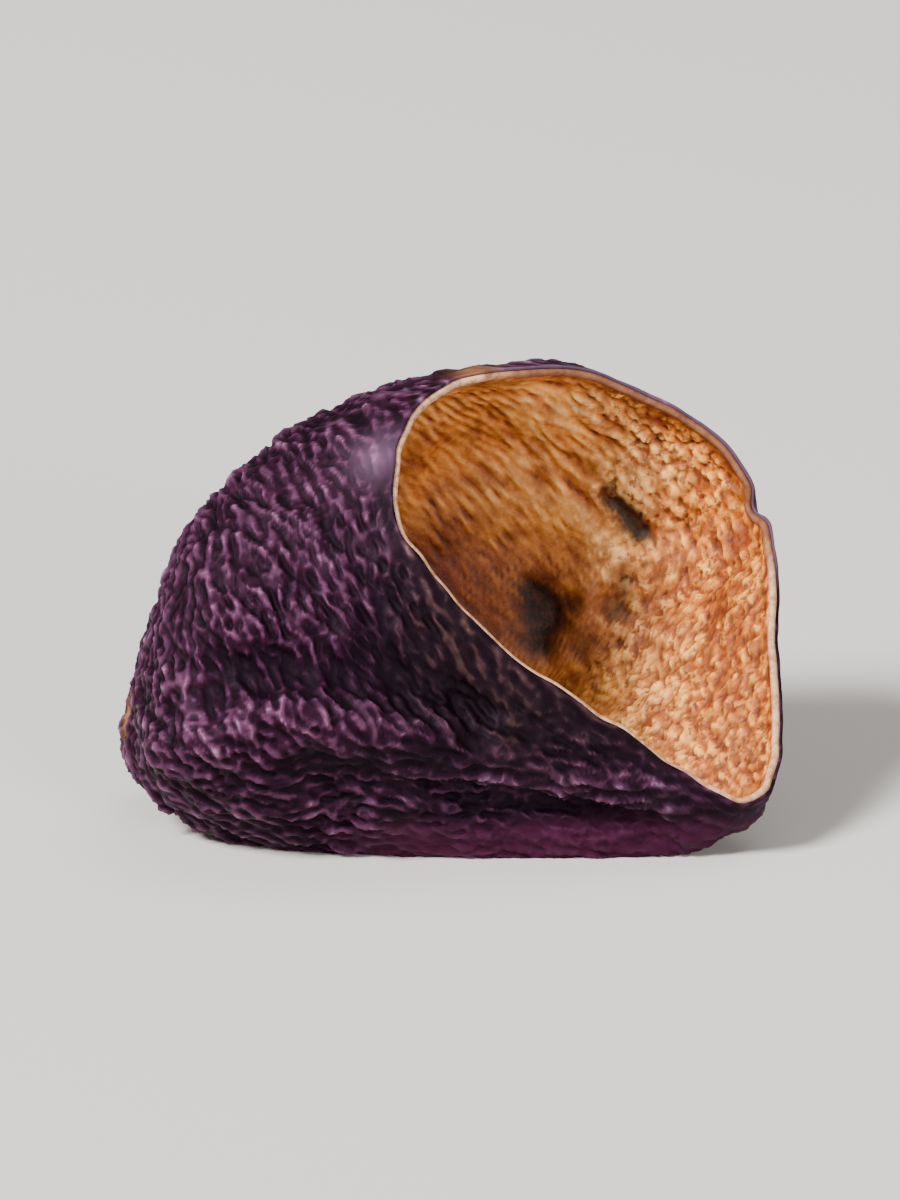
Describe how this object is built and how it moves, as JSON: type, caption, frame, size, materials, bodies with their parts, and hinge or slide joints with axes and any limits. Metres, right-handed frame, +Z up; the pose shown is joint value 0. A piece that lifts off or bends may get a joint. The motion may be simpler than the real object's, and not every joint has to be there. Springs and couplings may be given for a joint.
{
  "type": "dried hollow eggplant shell",
  "caption": "Small eggplant, cut across, hollowed out and dried: a wrinkled dark purple cup with a tan inside and a teardrop mouth, lying on its side",
  "frame": {"origin": "on the resting surface, under the middle of the shell's box", "axes": "+Z up from the resting surface; the closed blossom end points to -X, and the mouth opens to +X, up and towards -Y; +Y is the shell's far side"},
  "size_m": [0.0672, 0.0408, 0.0446],
  "materials": {
    "dried_eggplant": "dried eggplant skin, finely wrinkled, dark purple with a soft satin gloss; inside, matt tan and amber dried flesh"
  },
  "bodies": {
    "root": {"eggplant_shell": "dried_eggplant"}
  },
  "joints": []
}
